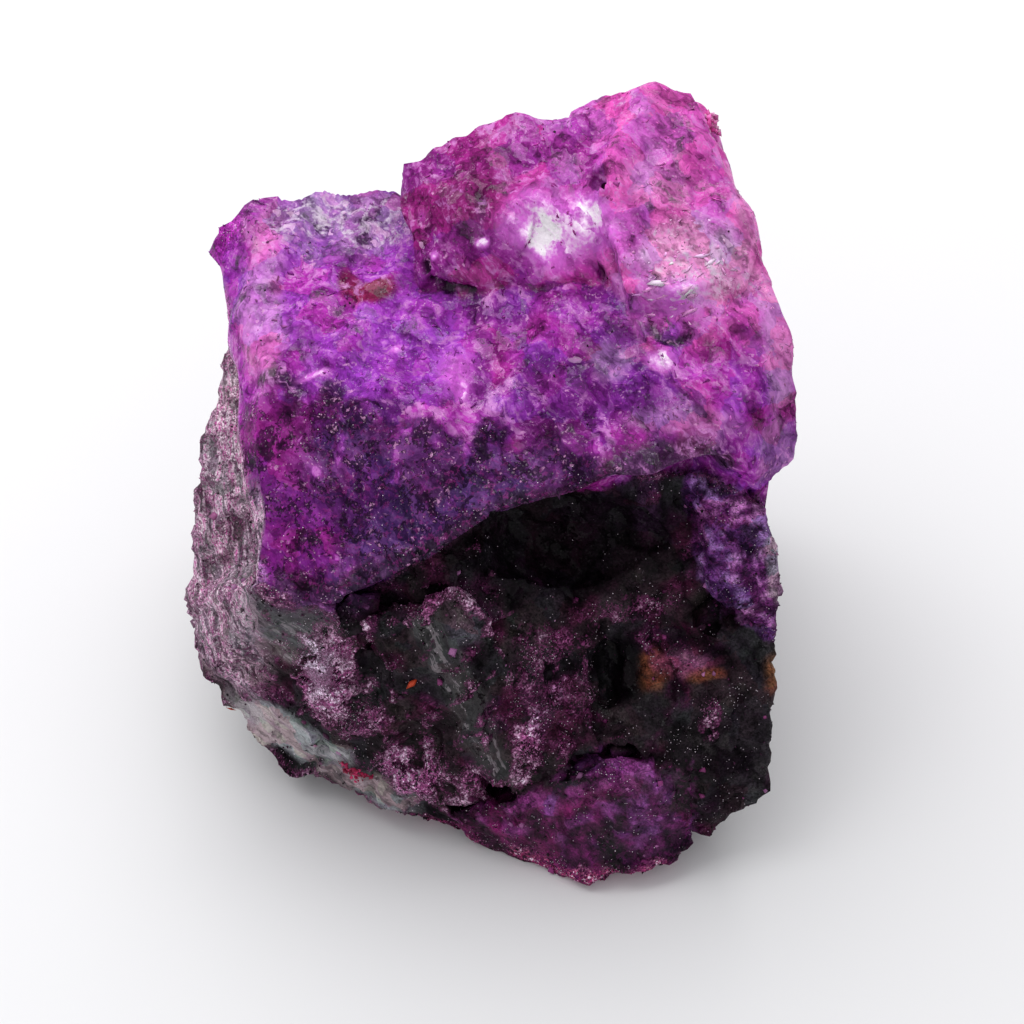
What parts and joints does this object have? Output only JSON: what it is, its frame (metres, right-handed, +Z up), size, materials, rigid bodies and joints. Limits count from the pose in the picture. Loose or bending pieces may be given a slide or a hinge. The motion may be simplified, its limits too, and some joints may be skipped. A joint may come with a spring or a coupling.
{
  "type": "rough sapphire",
  "caption": "Rough violet sapphire, a broken natural lump with a ledged crown, a dark pitted front and a flat fracture face that it rests on.",
  "frame": {"origin": "centre of the bounding box in plan, at the height of the flat fracture face that the stone rests on", "axes": "+Z up from the resting face, -Y towards the dark broken front, +X towards the tall right side of the crown"},
  "size_m": [0.0494, 0.046, 0.0485],
  "materials": {
    "violet_stone": "broken natural surface, translucent violet on the crown and near black and sugary on the front"
  },
  "bodies": {
    "root": {"rough_sapphire": "violet_stone"}
  },
  "joints": []
}
